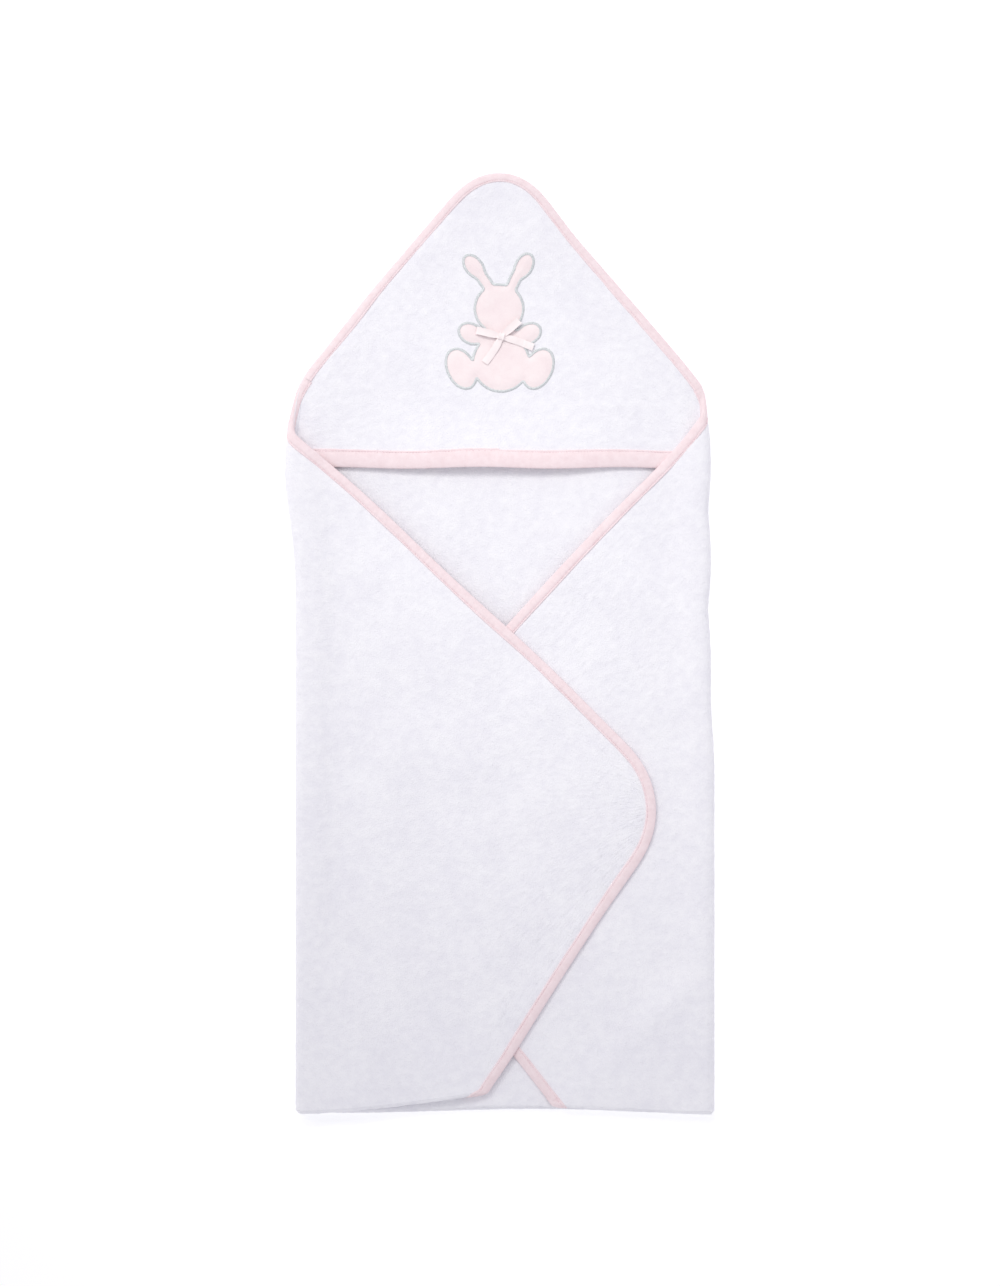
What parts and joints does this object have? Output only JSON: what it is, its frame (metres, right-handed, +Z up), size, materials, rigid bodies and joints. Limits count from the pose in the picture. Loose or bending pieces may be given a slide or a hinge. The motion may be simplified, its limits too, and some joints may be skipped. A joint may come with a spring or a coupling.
{
  "type": "hooded baby towel",
  "caption": "Square terry baby towel, folded flat, with a hood across one corner, pink bias binding, a rabbit applique and a ribbon bow.",
  "frame": {"origin": "centre of the folded towel's box, on the surface that it lies on", "axes": "+Z up off the surface, +Y towards the hood's tip, +X to the right seen from above with the hood up"},
  "size_m": [0.3568, 0.7952, 0.0171],
  "materials": {
    "terry_white": "matt looped terry pile",
    "binding_pink": "soft woven bias tape",
    "thread_pink": "sewing thread",
    "velour_pink": "short soft velour pile",
    "satin_thread_grey": "satin embroidery thread",
    "ribbon_pink": "satin ribbon",
    "label_white": "smooth woven label"
  },
  "bodies": {
    "root": {"back_panel": "terry_white", "hood_left": "terry_white", "hood_right": "terry_white", "hood_band_left": "binding_pink", "hood_band_right": "binding_pink", "hood_band_left_stitching": "thread_pink", "hood_band_right_stitching": "thread_pink", "hood_binding": "binding_pink", "hood_stitching": "thread_pink", "left_fold": "terry_white", "right_fold": "terry_white", "bottom_fold": "terry_white", "rabbit_applique": "velour_pink", "rabbit_satin_stitch": "satin_thread_grey", "bow_knot": "ribbon_pink", "bow_left_loop": "ribbon_pink", "bow_right_loop": "ribbon_pink", "bow_left_tail": "ribbon_pink", "bow_right_tail": "ribbon_pink"},
    "hood_front": {"hood_front": "terry_white", "hood_band": "binding_pink", "hood_band_stitching": "thread_pink"},
    "left_flap": {"left_flap": "terry_white", "left_binding": "binding_pink", "left_stitching": "thread_pink", "hood_corner_left": "terry_white", "hood_band_end_left": "binding_pink", "left_bottom_fold": "terry_white"},
    "left_corner": {"left_bottom_corner": "terry_white", "left_corner_binding": "binding_pink", "left_corner_stitching": "thread_pink"},
    "right_flap": {"right_flap": "terry_white", "right_binding": "binding_pink", "right_stitching": "thread_pink", "hood_corner_right": "terry_white", "hood_band_end_right": "binding_pink", "right_bottom_fold": "terry_white"},
    "right_corner": {"right_bottom_corner": "terry_white", "right_corner_binding": "binding_pink", "right_corner_stitching": "thread_pink"},
    "bottom_flap": {"bottom_flap": "terry_white", "bottom_binding": "binding_pink", "bottom_stitching": "thread_pink", "care_label": "label_white"}
  },
  "joints": [
    {"name": "left_flap_fold", "type": "hinge", "parent": "root", "child": "left_flap", "pos_m": [-0.17405, 0, 0.0083], "axis": [0, -1, 0], "range_deg": [0, 180], "deforming": ["left_fold"]},
    {"name": "right_flap_fold", "type": "hinge", "parent": "root", "child": "right_flap", "pos_m": [0.1758, 0, 0.00655], "axis": [0, 1, 0], "range_deg": [0, 180], "deforming": ["right_fold", "right_flap", "right_binding", "right_stitching", "hood_corner_right", "hood_band_end_right", "right_bottom_fold", "right_bottom_corner", "right_corner_binding", "right_corner_stitching"]},
    {"name": "bottom_flap_fold", "type": "hinge", "parent": "root", "child": "bottom_flap", "pos_m": [0, -0.39846, 0.00305], "axis": [1, 0, 0], "range_deg": [0, 180], "deforming": ["bottom_fold", "bottom_flap", "bottom_binding", "bottom_stitching", "care_label"]},
    {"name": "left_corner_fold", "type": "hinge", "parent": "left_flap", "child": "left_corner", "pos_m": [0, -0.39846, 0.01355], "axis": [-1, 0, 0], "range_deg": [0, 180], "deforming": ["left_bottom_fold", "left_bottom_corner", "left_corner_binding", "left_corner_stitching"]},
    {"name": "right_corner_fold", "type": "hinge", "parent": "right_flap", "child": "right_corner", "pos_m": [0, -0.39846, 0.01005], "axis": [-1, 0, 0], "range_deg": [0, 180]},
    {"name": "hood_lift", "type": "hinge", "parent": "root", "child": "hood_front", "pos_m": [0, 0.208, 0.0048], "axis": [-1, 0, 0], "range_deg": [0, 35]}
  ],
  "couplings": [
    {"joint": "left_corner_fold", "follows": "bottom_flap_fold", "ratio": 1},
    {"joint": "right_corner_fold", "follows": "bottom_flap_fold", "ratio": 1}
  ]
}
